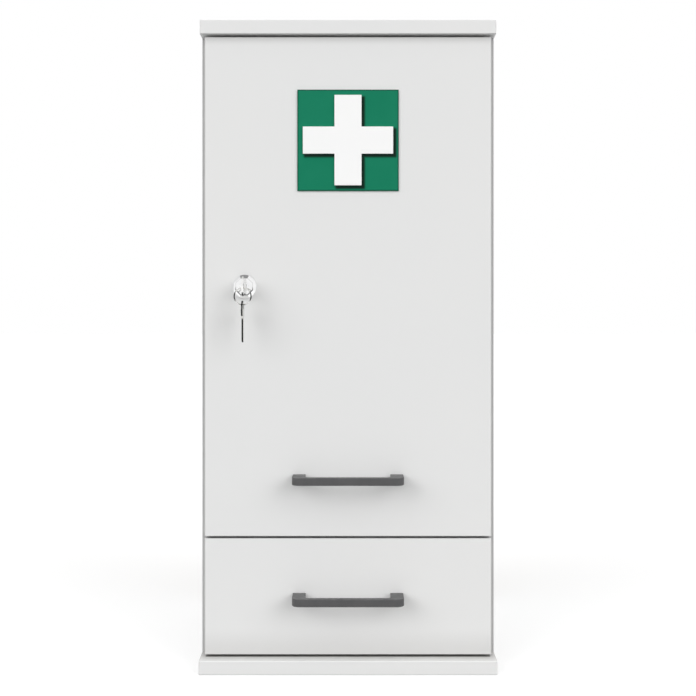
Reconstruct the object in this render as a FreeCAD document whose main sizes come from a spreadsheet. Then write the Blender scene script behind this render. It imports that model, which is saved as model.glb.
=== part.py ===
import FreeCAD, Part
import math
import operator
import os
import types

import Sketcher

# Medicine cabinet: a tall door over one drawer, with a key lock and a first-aid sign.
# Millimetres. +Z is up, the fronts face -Y, and the origin is on the middle of the underside.

Vector = FreeCAD.Vector
Rotation = FreeCAD.Rotation

# Driving dimensions, one row of the sheet each
SIZES = {
    # carcass
    "cab_width": 400,
    "cab_height": 880,
    "side_depth": 328,
    "board": 19,
    "top_overhang": 6,  # past the face of the fronts
    "bottom_overhang": 18,
    "panel_round": 1.2,  # rounded arrises at the front of the top and bottom
    "back_board": 8,
    "rebate_lip": 9,  # wood left behind the back panel's rebate
    "wall_hole": 7,
    "wall_hole_pitch_x": 280,
    "wall_hole_rise": 240,  # from the underside
    "wall_hole_drop": 80,  # from the top
    # door and drawer front
    "front_board": 19,
    "front_gap": 3,  # seen above, below and between the fronts
    "door_gap": 3,  # between the fronts and the side panels
    "reveal": 6,  # side panel seen beside a front
    "front_round": 1,
    "drawer_front_height": 157,
    "bumper_diameter": 8,
    "bumper_play": 0.2,
    "bumper_inset": 14,
    # joinery of the boards
    "cam_diameter": 15,
    "cam_depth": 12.5,
    "cam_setback": 24,
    "cam_row": 104,  # from mid depth
    "cam_slot": 1.6,
    "cam_slot_depth": 2,
    "cam_bolt": 7,
    "cam_bolt_grip": 11,
    "dowel": 8,
    "dowel_in_edge": 18,
    "dowel_in_face": 12,
    # adjustable shelves
    "shelf_board": 16,
    "shelf_side_play": 1,
    "shelf_rear_play": 1,
    "shelf_setback": 22,
    "lower_pin": 346,
    "middle_pin": 506,
    "upper_pin": 666,
    "pin_diameter": 5,
    "pin_depth": 10,
    "pin_reach": 8,
    "pin_pad": 9,
    "pin_pitch": 32,
    "pin_row_front": 37,
    "pin_row_rear": 64,
    # concealed hinges
    "hinge_inset": 90,  # from the door's ends
    "cup_bore": 35,
    "cup_edge": 3,
    "cup_depth": 13.5,
    "cup_wall": 1,
    "cup_flange": 1.2,
    "cup_flange_width": 20,
    "cup_flange_length": 62,
    "cup_screw_pitch": 48,
    "cup_screw_hole": 4,
    "pivot_edge": 7,  # pivot from the door's edge
    "pivot_depth": 9.5,  # pivot from the door's back
    "hinge_pin": 2.5,
    "hinge_pin_play": 0.05,
    "hinge_pin_cover": 0.2,
    "knuckle_radius": 2.2,
    "neck_width": 7,
    "neck_offset": 0.3,  # neck in front of the pivot
    "arm_strip": 2,
    "arm_start": 5,
    "arm_length": 48,
    "arm_width": 14,
    "arm_wall": 1.5,
    "arm_wall_height": 5,
    "arm_side_play": 0.2,
    "arm_bend": 1.5,
    "arm_screw_hole": 4.2,
    "plate_height": 5.5,
    "plate_wing": 2,
    "plate_wing_width": 14,
    "plate_wing_length": 50,
    "plate_hole": 5,
    "plate_hole_inset": 37,  # from the side panel's front edge
    "plate_hole_pitch": 32,
    # lock
    "lock_edge": 54,  # lock axis from the door's free edge
    "rosette_diameter": 32,
    "rosette_height": 7,
    "rosette_face": 22,
    "rosette_base": 2,
    "barrel_diameter": 19,
    "barrel_tail": 5,
    "nut_width": 26,
    "nut_height": 4,
    "core_diameter": 12,
    "core_play": 0.05,
    "core_tail": 8,
    "keyway_width": 2.4,
    "keyway_height": 7.8,
    "keyway_end": 1,  # keyway past the tip of the key
    "case_side_gap": 2.5,
    "case_width": 60.5,
    "case_height": 64,
    "case_depth": 22,
    "case_wall": 1.5,
    "case_round": 3,
    "bolt_inset": 8,  # bolt behind the side panel's front edge
    "bolt_thickness": 8,
    "bolt_height": 29,
    "bolt_length": 54,
    "bolt_throw": 12,
    "bolt_play": 0.2,
    "bolt_chamfer": 1,
    "drive_pin": 4,
    "drive_play": 0.35,
    "drive_disc": 4,
    "guide_rib": 2,
    "strike_plate": 1.5,
    "strike_margin": 6,
    "strike_height": 60,
    "mortise_play": 0.3,
    "mortise_depth": 11,
    # keys and ring
    "key_length": 55,
    "key_thickness": 2.2,
    "key_bow": 26,
    "key_hole": 7,
    "key_hole_inset": 7.5,
    "key_blade": 7.5,
    "key_bit": 2.4,
    "key_gap": 2,  # bow to rosette
    "ring_radius": 11.2,
    "ring_wire": 1.6,
    "ring_play": 0.5,
    # handles
    "handle_screw_pitch": 128,
    "handle_leg_pitch": 132,
    "handle_leg": 17.4,
    "handle_height": 10.4,
    "handle_reach": 35,
    "handle_bar": 9,
    "handle_outer_round": 10,
    "handle_inner_round": 6,
    "handle_arris": 1,
    "door_handle_rise": 79,
    "screw_shank": 4,
    "screw_grip": 12,
    "screw_head": 8,
    "screw_head_height": 2.4,
    # first-aid sign
    "sign_side": 137,
    "sign_drop": 71.6,  # from the door's top
    "sign_plate": 1.5,
    "cross_span": 122,
    "cross_arm": 36.5,
    "cross_height": 2.5,
    # drawer and its runners
    "drawer_board": 12,
    "drawer_rear_gap": 23,  # behind the drawer
    "drawer_lift": 13,
    "drawer_height": 100,
    "drawer_bottom_board": 5,
    "drawer_bottom_rise": 8,
    "groove_depth": 5,
    "runner_space": 12.5,
    "rail_sheet": 1.2,
    "rail_setback": 2,
    "rail_overrun": 5,  # cabinet rail behind the drawer
    "rail_lip": 4.5,
    "rail_split": 0.5,
    "axle_height": 41,
    "axle_diameter": 5,
    "axle_play": 0.05,
    "roller_diameter": 18,
    "roller_play": 0.3,
    "roller_side_play": 2,
    "roller_end": 12,
    "roller_round": 0.8,
}
FACETS = 8  # flats of the rosette's bevel
SHELVES = {"lower_shelf": "lower_pin", "middle_shelf": "middle_pin", "upper_shelf": "upper_pin"}
SIGNS = {"+": operator.add, "-": operator.sub, "*": operator.mul, "/": operator.truediv}
TURNS = {
    "X": Rotation(Vector(0, 1, 0), 90),
    "Y": Rotation(Vector(1, 0, 0), -90),
    "Z": Rotation(),
}


class Size:
    """A length that knows its number and its formula in the sheet, so that it can drive a property."""

    def __init__(self, formula, value):
        self.formula = formula
        self.value = value

    def __add__(self, other):
        return combine(self, "+", other)

    def __radd__(self, other):
        return combine(other, "+", self)

    def __sub__(self, other):
        return combine(self, "-", other)

    def __rsub__(self, other):
        return combine(other, "-", self)

    def __mul__(self, other):
        return combine(self, "*", other)

    def __rmul__(self, other):
        return combine(other, "*", self)

    def __truediv__(self, other):
        return combine(self, "/", other)

    def __neg__(self):
        return combine(0, "-", self)


def as_size(number):
    """A plain number as a Size."""
    return number if isinstance(number, Size) else Size(f"({number})", number)


def combine(first, sign, second):
    """The Size of a sum, difference, product or quotient."""
    first = as_size(first)
    second = as_size(second)
    return Size(f"({first.formula} {sign} {second.formula})", SIGNS[sign](first.value, second.value))


def root(size):
    """The Size of a square root."""
    return Size(f"sqrt({size.formula})", math.sqrt(size.value))


# The document and its sheet
doc = FreeCAD.newDocument("medicine_cabinet")
sheet = doc.addObject("Spreadsheet::Sheet", "sizes")
for row, (alias, number) in enumerate(SIZES.items(), start=1):
    sheet.set(f"A{row}", alias)
    sheet.set(f"B{row}", str(number))
    sheet.setAlias(f"B{row}", alias)
doc.recompute()
S = types.SimpleNamespace(**{alias: Size(f"sizes.{alias}", number) for alias, number in SIZES.items()})

# Planes and axes that several pieces share
half_width = S.cab_width / 2
inner_x = half_width - S.board
top_z = S.cab_height - S.board
side_front = -S.side_depth / 2
side_rear = S.side_depth / 2
back_face = side_rear - S.back_board
fronts_back = side_front - S.door_gap
fronts_face = fronts_back - S.front_board
front_half = half_width - S.reveal
drawer_front_low = S.board + S.front_gap
drawer_front_top = drawer_front_low + S.drawer_front_height
door_low = drawer_front_top + S.front_gap
door_top = top_z - S.front_gap
divider_low = drawer_front_top + S.front_gap / 2 - S.board / 2
pivot_x = front_half - S.pivot_edge
pivot_y = fronts_back - S.pivot_depth
cup_x = front_half - S.cup_edge - S.cup_bore / 2
hinge_heights = (door_low + S.hinge_inset, door_top - S.hinge_inset)
lock_x = S.lock_edge - front_half
lock_z = (door_low + door_top) / 2
rosette_face_y = fronts_face - S.rosette_height
case_edge = S.case_side_gap - inner_x
bolt_front = side_front + S.bolt_inset
bolt_rear = bolt_front + S.bolt_thickness
drive_arm = S.bolt_throw / 2  # drive pin beside and above the lock axis, a quarter turn apart
key_tip_y = rosette_face_y - S.key_gap - S.key_bow
ring_y = key_tip_y + S.key_hole_inset
ring_rest = S.key_hole / 2 - S.ring_wire / 2 - S.ring_play  # wire below the middle of a key's hole
ring_z = lock_z - ring_rest - S.ring_radius
drawer_half = inner_x - S.runner_space
drawer_low = S.board + S.drawer_lift
drawer_rear = back_face - S.drawer_rear_gap
axle_z = S.board + S.axle_height
front_axle_y = side_front + S.rail_setback + S.roller_end
rear_axle_y = drawer_rear - S.roller_end


# Tools that make bound objects
def bind(obj, prop, size):
    obj.setExpression(prop, as_size(size).formula)


def place(obj, x, y, z):
    """Binds where an object stands."""
    for axis, size in zip("xyz", (x, y, z)):
        bind(obj, f"Placement.Base.{axis}", size)


def ordered(span):
    """The two ends of a span, the lower one first."""
    return sorted((as_size(end) for end in span), key=lambda end: end.value)


def box(x, y, z, name="block"):
    """A block between two planes along each axis."""
    obj = doc.addObject("Part::Box", name)
    spans = [ordered(span) for span in (x, y, z)]
    for prop, (low, high) in zip(("Length", "Width", "Height"), spans):
        bind(obj, prop, high - low)
    place(obj, *(low for low, high in spans))
    return obj


def rod(axis, centre, diameter, span, name="rod"):
    """A cylinder along an axis. centre gives the other two coordinates, in the order x, y, z."""
    obj = doc.addObject("Part::Cylinder", name)
    low, high = ordered(span)
    bind(obj, "Radius", diameter / 2)
    bind(obj, "Height", high - low)
    obj.Placement.Rotation = TURNS[axis]
    where = list(centre)
    where.insert("XYZ".index(axis), low)
    place(obj, *where)
    return obj


def group(shapes, name="group"):
    """Separate solids of one kind."""
    obj = doc.addObject("Part::Compound", name)
    obj.Links = shapes
    return obj


def fuse(shapes, name="joined"):
    obj = doc.addObject("Part::MultiFuse", name)
    obj.Shapes = shapes
    obj.Refine = True
    return obj


def cut(base, tools, name="cut"):
    """Takes each tool in turn away from the base."""
    for number, tool in enumerate(tools, start=1):
        obj = doc.addObject("Part::Cut", name if number == len(tools) else "cut")
        obj.Base = base
        obj.Tool = tool
        obj.Refine = True
        base = obj
    return obj


def sketch(body, role, lift=0):
    """A sketch on one of the body's own origin planes, lifted along its normal."""
    obj = body.newObject("Sketcher::SketchObject", f"{body.Name}_sketch")
    plane = next(feature for feature in body.Origin.OriginFeatures if feature.Role == role)
    obj.AttachmentSupport = [(plane, "")]
    obj.MapMode = "FlatFace"
    bind(obj, "AttachmentOffset.Base.z", lift)
    return obj


def locate(profile, geometry, point, x, y):
    """Dimensions one point of a sketch from the sketch's origin."""
    for kind, size in (("DistanceX", as_size(x)), ("DistanceY", as_size(y))):
        number = profile.addConstraint(Sketcher.Constraint(kind, -1, 1, geometry, point, size.value))
        profile.setExpression(f"Constraints[{number}]", size.formula)


def polygon(profile, corners):
    """A closed outline, with each corner dimensioned."""
    first = profile.GeometryCount
    points = [Vector(as_size(x).value, as_size(y).value, 0) for x, y in corners]
    for number, point in enumerate(points):
        profile.addGeometry(Part.LineSegment(point, points[(number + 1) % len(points)]), False)
    for number, (x, y) in enumerate(corners):
        following = first + (number + 1) % len(points)
        profile.addConstraint(Sketcher.Constraint("Coincident", first + number, 2, following, 1))
        locate(profile, first + number, 1, x, y)


def rectangle(profile, x, y):
    polygon(profile, [(x[0], y[0]), (x[1], y[0]), (x[1], y[1]), (x[0], y[1])])


def circle(profile, x, y, diameter):
    centre = Vector(as_size(x).value, as_size(y).value, 0)
    radius = as_size(diameter) / 2
    number = profile.addGeometry(Part.Circle(centre, Vector(0, 0, 1), radius.value), False)
    locate(profile, number, 3, x, y)
    size = profile.addConstraint(Sketcher.Constraint("Radius", number, radius.value))
    profile.setExpression(f"Constraints[{size}]", radius.formula)


def pad(body, profile, length, back=False):
    """Material along the sketch's normal, or against it."""
    feature = body.newObject("PartDesign::Pad", "pad")
    feature.Profile = profile
    feature.Reversed = back
    bind(feature, "Length", length)
    return feature


def pocket(body, profile, length, ahead=False):
    """A cut against the sketch's normal, or along it, which has to take material away."""
    doc.recompute()
    before = body.Shape.Volume
    feature = body.newObject("PartDesign::Pocket", "pocket")
    feature.Profile = profile
    feature.Reversed = ahead
    bind(feature, "Length", length)
    doc.recompute()
    if body.Shape.Volume > before - 1e-3:
        raise RuntimeError(f"a pocket of {body.Label} cuts nothing")
    return feature


def fillet(body, radius, wanted):
    """Rounds the edges of the body's last feature that the test wants."""
    doc.recompute()
    base = body.Tip
    names = [f"Edge{n}" for n, edge in enumerate(base.Shape.Edges, start=1) if wanted(edge)]
    feature = body.newObject("PartDesign::Fillet", "fillet")
    feature.Base = (base, names)
    bind(feature, "Radius", radius)
    return feature


def at_plane(axis, size):
    """A test for edges that lie in a plane across an axis."""

    def wanted(edge):
        low = getattr(edge.BoundBox, f"{axis}Min")
        high = getattr(edge.BoundBox, f"{axis}Max")
        return abs(low - size.value) < 1e-4 and abs(high - size.value) < 1e-4

    return wanted


def along_at(x_size, y_size):
    """A test for edges along Z at a distance x from the middle plane and at y."""

    def wanted(edge):
        where = edge.BoundBox
        upright = where.ZLength > 10 * (where.XLength + where.YLength)
        across = abs(abs(where.Center.x) - x_size.value)
        along = abs(where.Center.y - y_size.value)
        return upright and across < 1e-3 and along < 1e-3

    return wanted


# Carcass
def joinery():
    """Cam locks, their bolts and the dowels, at the ends of the side panels and of the divider."""
    cams = []
    slots = []
    bolts = []
    dowels = []
    mid_z = divider_low + S.board / 2
    for side in (-1, 1):
        edge_x = side * (inner_x + S.board / 2)
        face = side * inner_x
        for end, into in ((top_z, 1), (S.board, -1)):
            cam_z = end - into * S.cam_setback
            for y in (-S.cam_row, S.cam_row):
                cams.append(rod("X", (y, cam_z), S.cam_diameter, (face, face + side * S.cam_depth)))
                slots.append(box((face, face + side * S.cam_slot_depth),
                                 (y - S.cam_diameter / 3, y + S.cam_diameter / 3),
                                 (cam_z - S.cam_slot / 2, cam_z + S.cam_slot / 2)))
                span = (cam_z + into * S.cam_diameter / 2, end + into * S.cam_bolt_grip)
                bolts.append(rod("Z", (edge_x, y), S.cam_bolt, span))
            span = (end - into * S.dowel_in_edge, end + into * S.dowel_in_face)
            dowels.append(rod("Z", (edge_x, 0), S.dowel, span))
        cam_x = side * (inner_x - S.cam_setback)
        for y in (-S.cam_row, S.cam_row):
            cams.append(rod("Z", (cam_x, y), S.cam_diameter, (divider_low, divider_low + S.cam_depth)))
            slots.append(box((cam_x - S.cam_diameter / 3, cam_x + S.cam_diameter / 3),
                             (y - S.cam_slot / 2, y + S.cam_slot / 2),
                             (divider_low, divider_low + S.cam_slot_depth)))
            span = (cam_x + side * S.cam_diameter / 2, face + side * S.cam_bolt_grip)
            bolts.append(rod("X", (y, mid_z), S.cam_bolt, span))
        span = (face - side * S.dowel_in_edge, face + side * S.dowel_in_face)
        dowels.append(rod("X", (0, mid_z), S.dowel, span))
    bores = group(cams, "cam_bores")
    return bores, cut(bores, slots, "cam_locks"), group(bolts, "cam_bolts"), group(dowels, "dowels")


def shelf_pins():
    """Pins that carry the shelves, and the rows of holes they stand in."""
    pins = []
    holes = []
    rows = (side_front + S.pin_row_front, side_rear - S.pin_row_rear)
    for pin_z in (getattr(S, alias) for alias in SHELVES.values()):
        for side in (-1, 1):
            face = side * inner_x
            for y in rows:
                sunk = (face, face + side * S.pin_depth)
                stem = rod("X", (y, pin_z), S.pin_diameter, sunk)
                rest = box((face, face - side * S.pin_reach),
                           (y - S.pin_pad / 2, y + S.pin_pad / 2),
                           (pin_z - S.pin_diameter / 2, pin_z + S.pin_diameter / 2))
                pins.append(fuse([stem, rest]))
                heights = [pin_z + step * S.pin_pitch for step in (-1, 0, 1)]
                holes += [rod("X", (y, height), S.pin_diameter, sunk) for height in heights]
    return group(pins, "shelf_pins"), group(holes, "pin_holes")


def back_panel():
    """The back in its rebates, with four holes for the wall."""
    half = half_width - S.rebate_lip
    span_z = (S.rebate_lip, S.cab_height - S.rebate_lip)
    blank = box((-half, half), (back_face, side_rear), span_z, "back_blank")
    holes = [
        rod("Y", (side * S.wall_hole_pitch_x / 2, z), S.wall_hole, (back_face, side_rear))
        for side in (-1, 1)
        for z in (S.wall_hole_rise, S.cab_height - S.wall_hole_drop)
    ]
    return blank, cut(blank, holes, "back_panel")


def cover_panel(name, low, overhang, tools):
    """The top or the bottom of the carcass, with a rounded front."""
    body = doc.addObject("PartDesign::Body", f"{name}_board")
    profile = sketch(body, "XY_Plane", low)
    front = fronts_face - overhang
    rectangle(profile, (-half_width, half_width), (front, side_rear))
    pad(body, profile, S.board)
    fillet(body, S.panel_round, at_plane("Y", front))
    return cut(body, tools, name)


def carcass():
    bores, cams, bolts, dowels = joinery()
    pins, holes = shelf_pins()
    blank, back = back_panel()
    plate, mortise = strike()
    joints = [blank, bores, bolts, dowels]
    parts = [cams, bolts, dowels, pins, back, plate]
    parts.append(cover_panel("top_panel", top_z, S.top_overhang, [blank, bolts, dowels]))
    parts.append(cover_panel("bottom_panel", as_size(0), S.bottom_overhang, [blank, bolts, dowels]))
    for name, side, extra in (("left_side_panel", -1, [mortise]), ("right_side_panel", 1, [])):
        board = box((side * inner_x, side * half_width), (side_front, side_rear), (S.board, top_z))
        parts.append(cut(board, joints + [holes] + extra, name))
    board = box((-inner_x, inner_x), (side_front, back_face), (divider_low, divider_low + S.board))
    parts.append(cut(board, [bores, bolts, dowels], "divider_shelf"))
    reach = inner_x - S.shelf_side_play
    for name, alias in SHELVES.items():
        low = getattr(S, alias) + S.pin_diameter / 2
        parts.append(box((-reach, reach), (side_front + S.shelf_setback, back_face - S.shelf_rear_play),
                         (low, low + S.shelf_board), name))
    return parts


# Concealed hinges on the right
def hinge(z):
    """Arm, mounting plate, cup and pivot pin of the hinge at one height."""
    neck = (z - S.neck_width / 2, z + S.neck_width / 2)
    neck_rear = pivot_y - S.neck_offset
    neck_front = neck_rear - S.arm_strip
    arm_rear = inner_x - S.plate_height
    arm_face = arm_rear - S.arm_strip
    start = side_front + S.arm_start
    end = start + S.arm_length
    wall_in = S.arm_width / 2 - S.arm_wall
    body = doc.addObject("PartDesign::Body", "arm_strip")
    profile = sketch(body, "XY_Plane", neck[0])
    polygon(profile, [(pivot_x, neck_front), (pivot_x, neck_rear), (arm_rear, neck_rear), (arm_rear, end),
                      (arm_face, end), (arm_face, neck_front)])
    pad(body, profile, S.neck_width)
    fillet(body, S.arm_bend, along_at(arm_face, neck_front))
    knuckle = rod("Z", (pivot_x, pivot_y), 2 * S.knuckle_radius, neck)
    web = box((arm_face, arm_rear), (start, end), (z - S.arm_width / 2, z + S.arm_width / 2))
    walls = [
        box((arm_face, arm_face + S.arm_wall_height), (start, end),
            (z + side * wall_in, z + side * S.arm_width / 2))
        for side in (-1, 1)
    ]
    pin_hole = rod("Z", (pivot_x, pivot_y), S.hinge_pin + 2 * S.hinge_pin_play, neck)
    screw_y = side_front + S.plate_hole_inset
    screw = rod("X", (screw_y, z), S.arm_screw_hole, (arm_face, inner_x))
    arm = cut(fuse([body, knuckle, web] + walls), [pin_hole, screw], "hinge_arm")

    rib_half = wall_in - S.arm_side_play
    rib = box((arm_rear, inner_x), (start, end), (z - rib_half, z + rib_half))
    wing_x = (inner_x - S.plate_wing, inner_x)
    wing = box(wing_x,
               (screw_y - S.plate_wing_width / 2, screw_y + S.plate_wing_width / 2),
               (z - S.plate_wing_length / 2, z + S.plate_wing_length / 2))
    holes = [
        rod("X", (screw_y, z + side * S.plate_hole_pitch / 2), S.plate_hole, wing_x)
        for side in (-1, 1)
    ]
    plate = cut(fuse([rib, wing]), holes + [screw], "hinge_plate")

    floor = fronts_back - S.cup_depth
    rim = fronts_back + S.cup_flange
    shell = rod("Y", (cup_x, z), S.cup_bore, (floor, fronts_back))
    flange = box((cup_x - S.cup_flange_width / 2, cup_x + S.cup_flange_width / 2), (fronts_back, rim),
                 (z - S.cup_flange_length / 2, z + S.cup_flange_length / 2))
    hollow = rod("Y", (cup_x, z), S.cup_bore - 2 * S.cup_wall, (floor + S.cup_wall, rim))
    offset = pivot_x - cup_x + S.hinge_pin / 2
    pin_half = root(S.cup_bore * S.cup_bore / 4 - offset * offset) - S.hinge_pin_cover
    pin = rod("Z", (pivot_x, pivot_y), S.hinge_pin, (z - pin_half, z + pin_half))
    holes = [
        rod("Y", (cup_x, z + side * S.cup_screw_pitch / 2), S.cup_screw_hole, (fronts_back, rim))
        for side in (-1, 1)
    ]
    cup = cut(fuse([shell, flange]), [hollow, pin] + holes, "hinge_cup")
    return arm, plate, cup, pin


def hinges():
    sets = zip(*(hinge(z) for z in hinge_heights))
    names = ("hinge_arms", "hinge_plates", "hinge_cups", "hinge_pins")
    return [group(list(pieces), name) for pieces, name in zip(sets, names)]


# Door and drawer front
def front_panel(name, low, top, holes):
    """A front with rounded arrises. holes lists x, z, diameter and depth from its back."""
    body = doc.addObject("PartDesign::Body", name)
    profile = sketch(body, "XZ_Plane", -fronts_back)
    rectangle(profile, (-front_half, front_half), (low, top))
    pad(body, profile, S.front_board)
    fillet(body, S.front_round, at_plane("Y", fronts_face))
    for depth in {hole[3].formula: hole[3] for hole in holes}.values():
        profile = sketch(body, "XZ_Plane", -fronts_back)
        for x, z, diameter, hole_depth in holes:
            if hole_depth is depth:
                circle(profile, x, z, diameter)
        pocket(body, profile, depth, ahead=True)
    return body


def handle(name, z, seat):
    """A U-shaped pull and its two screws, whose heads sit on the plane seat."""
    outer = (S.handle_leg_pitch + S.handle_leg) / 2
    inner = (S.handle_leg_pitch - S.handle_leg) / 2
    bar_front = fronts_face - S.handle_reach
    bar_rear = bar_front + S.handle_bar
    body = doc.addObject("PartDesign::Body", f"{name}_bow")
    profile = sketch(body, "XY_Plane", z - S.handle_height / 2)
    polygon(profile, [(-outer, fronts_face), (-outer, bar_front), (outer, bar_front), (outer, fronts_face),
                      (inner, fronts_face), (inner, bar_rear), (-inner, bar_rear), (-inner, fronts_face)])
    pad(body, profile, S.handle_height)
    fillet(body, S.handle_outer_round, along_at(outer, bar_front))
    fillet(body, S.handle_inner_round, along_at(inner, bar_rear))
    low = z - S.handle_height / 2
    high = z + S.handle_height / 2
    fillet(body, S.handle_arris, lambda edge: at_plane("Z", low)(edge) or at_plane("Z", high)(edge))
    screws = []
    for side in (-1, 1):
        x = side * S.handle_screw_pitch / 2
        shank = rod("Y", (x, z), S.screw_shank, (seat, fronts_face - S.screw_grip))
        head = rod("Y", (x, z), S.screw_head, (seat, seat + S.screw_head_height))
        screws.append(fuse([shank, head]))
    return cut(body, screws, name), group(screws, f"{name}_screws")


def screw_holes(z):
    return [(side * S.handle_screw_pitch / 2, z, S.screw_shank, S.front_board) for side in (-1, 1)]


def first_aid_sign():
    """The square plate and the raised cross on it."""
    top = door_top - S.sign_drop
    mid = top - S.sign_side / 2
    half = S.sign_side / 2
    plate_face = fronts_face - S.sign_plate
    plate = box((-half, half), (plate_face, fronts_face), (top - S.sign_side, top), "sign_plate")
    body = doc.addObject("PartDesign::Body", "sign_cross")
    profile = sketch(body, "XZ_Plane", -plate_face)
    arm = S.cross_arm / 2
    span = S.cross_span / 2
    outline = [(arm, arm), (arm, span), (-arm, span), (-arm, arm), (-span, arm), (-span, -arm),
               (-arm, -arm), (-arm, -span), (arm, -span), (arm, -arm), (span, -arm), (span, arm)]
    polygon(profile, [(x, mid + z) for x, z in outline])
    pad(body, profile, S.cross_height)
    return [plate, body]


def door():
    z = door_low + S.door_handle_rise
    holes = [(cup_x, height, S.cup_bore, S.cup_depth) for height in hinge_heights]
    holes += screw_holes(z) + [(lock_x, lock_z, S.barrel_diameter, S.front_board)]
    parts = [front_panel("door_panel", door_low, door_top, holes)]
    parts += handle("door_handle", z, fronts_back)
    parts += first_aid_sign()
    x = -(front_half + inner_x) / 2
    bumpers = [
        rod("Y", (x, height), S.bumper_diameter, (fronts_back, side_front - S.bumper_play))
        for height in (door_low + S.bumper_inset, door_top - S.bumper_inset)
    ]
    parts.append(group(bumpers, "door_bumpers"))
    return parts


# Lock
def rosette():
    """A chrome collar whose bevel has flats round the face."""
    body = doc.addObject("PartDesign::Body", "lock_rosette")
    profile = sketch(body, "XY_Plane")
    circle(profile, 0, 0, S.rosette_diameter)
    circle(profile, 0, 0, S.barrel_diameter)
    pad(body, profile, S.rosette_height)
    section = sketch(body, "XZ_Plane", -S.rosette_diameter)
    outside = S.rosette_diameter * 0.75
    edge = S.rosette_diameter / 2
    slope = (edge - S.rosette_face / 2) / (S.rosette_height - S.rosette_base)
    drop = (outside - edge) / slope
    polygon(section, [(S.rosette_face / 2, S.rosette_height), (outside, S.rosette_height),
                      (outside, S.rosette_base - drop)])
    flat = pocket(body, section, 2 * S.rosette_diameter, ahead=True)
    ring = body.newObject("PartDesign::PolarPattern", "flats")
    ring.Originals = [flat]
    ring.Axis = (next(feature for feature in body.Origin.OriginFeatures if feature.Role == "Z_Axis"), [""])
    ring.Angle = 360
    ring.Occurrences = FACETS
    body.Tip = ring
    body.Placement.Rotation = Rotation(Vector(1, 0, 0), 90)
    place(body, lock_x, fronts_face, lock_z)
    return body


def cylinder_lock():
    """Barrel and nut in the door, and the core that the key turns, with its drive pin."""
    axis = (lock_x, lock_z)
    end = fronts_back + S.barrel_tail
    bore = rod("Y", axis, S.core_diameter + 2 * S.core_play, (rosette_face_y, end))
    outside = rod("Y", axis, S.barrel_diameter, (rosette_face_y, end))
    barrel = cut(outside, [bore], "lock_barrel")
    hexagon = doc.addObject("Part::Prism", "hexagon")
    hexagon.Polygon = 6
    bind(hexagon, "Circumradius", S.nut_width / root(as_size(3)))
    bind(hexagon, "Height", S.nut_height)
    hexagon.Placement.Rotation = TURNS["Y"]
    place(hexagon, lock_x, fronts_back, lock_z)
    nut = cut(hexagon, [outside], "lock_nut")

    disc_rear = bolt_front - S.bolt_play * 5
    disc_front = disc_rear - S.drive_disc
    reach = root(2 * drive_arm * drive_arm)
    pin_x = lock_x + drive_arm
    pin_z = lock_z + drive_arm
    core = fuse([
        rod("Y", axis, S.core_diameter, (rosette_face_y, end)),
        rod("Y", axis, S.core_tail, (end, disc_front)),
        rod("Y", axis, 2 * reach + 1.5 * S.drive_pin, (disc_front, disc_rear)),
        rod("Y", (pin_x, pin_z), S.drive_pin, (disc_rear, bolt_rear)),
    ])
    keyway = box((lock_x - S.keyway_width / 2, lock_x + S.keyway_width / 2),
                 (rosette_face_y, key_tip_y + S.key_length + S.keyway_end),
                 (lock_z - S.keyway_height / 2, lock_z + S.keyway_height / 2))
    return [barrel, nut, cut(core, [keyway], "lock_core")]


def lock_case():
    """A pressed case on the door's back, with ribs that guide the bolt and a slot where it comes out."""
    half = S.case_height / 2
    far_edge = case_edge + S.case_width
    back = fronts_back + S.case_depth
    body = doc.addObject("PartDesign::Body", "case_shell")
    profile = sketch(body, "XZ_Plane", -fronts_back)
    rectangle(profile, (case_edge, far_edge), (lock_z - half, lock_z + half))
    pad(body, profile, S.case_depth, back=True)
    fillet(body, S.case_round, at_plane("Y", back))
    profile = sketch(body, "XZ_Plane", -fronts_back)
    inset = half - S.case_wall
    rectangle(profile, (case_edge + S.case_wall, far_edge - S.case_wall), (lock_z - inset, lock_z + inset))
    pocket(body, profile, S.case_depth - S.case_wall)
    guide = S.bolt_height / 2 + S.bolt_play
    slot = box((case_edge, case_edge + S.case_wall), (bolt_front - S.bolt_play, bolt_rear + S.bolt_play),
               (lock_z - guide, lock_z + guide))
    ribs = [
        box((case_edge + S.case_wall, far_edge - S.case_wall), (bolt_front, back - S.case_wall),
            (lock_z + side * guide, lock_z + side * (guide + S.guide_rib)))
        for side in (-1, 1)
    ]
    return fuse([cut(body, [slot])] + ribs, "lock_case")


def lock_bolt():
    """The sliding bolt, with an upright slot for the drive pin."""
    half = S.bolt_height / 2
    body = doc.addObject("PartDesign::Body", "lock_bolt")
    profile = sketch(body, "XZ_Plane", -bolt_rear)
    rectangle(profile, (case_edge, case_edge + S.bolt_length), (lock_z - half, lock_z + half))
    reach = root(2 * drive_arm * drive_arm)
    slot_half = S.drive_pin / 2 + S.drive_play
    slot_x = lock_x + drive_arm
    rectangle(profile, (slot_x - slot_half, slot_x + slot_half),
              (lock_z + drive_arm - slot_half, lock_z + reach + slot_half))
    pad(body, profile, S.bolt_thickness)
    doc.recompute()
    test = at_plane("X", case_edge)
    names = [f"Edge{n}" for n, edge in enumerate(body.Tip.Shape.Edges, start=1) if test(edge)]
    base = body.Tip
    bevel = body.newObject("PartDesign::Chamfer", "bevel")
    bevel.Base = (base, names)
    bind(bevel, "Size", S.bolt_chamfer)
    return body


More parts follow.
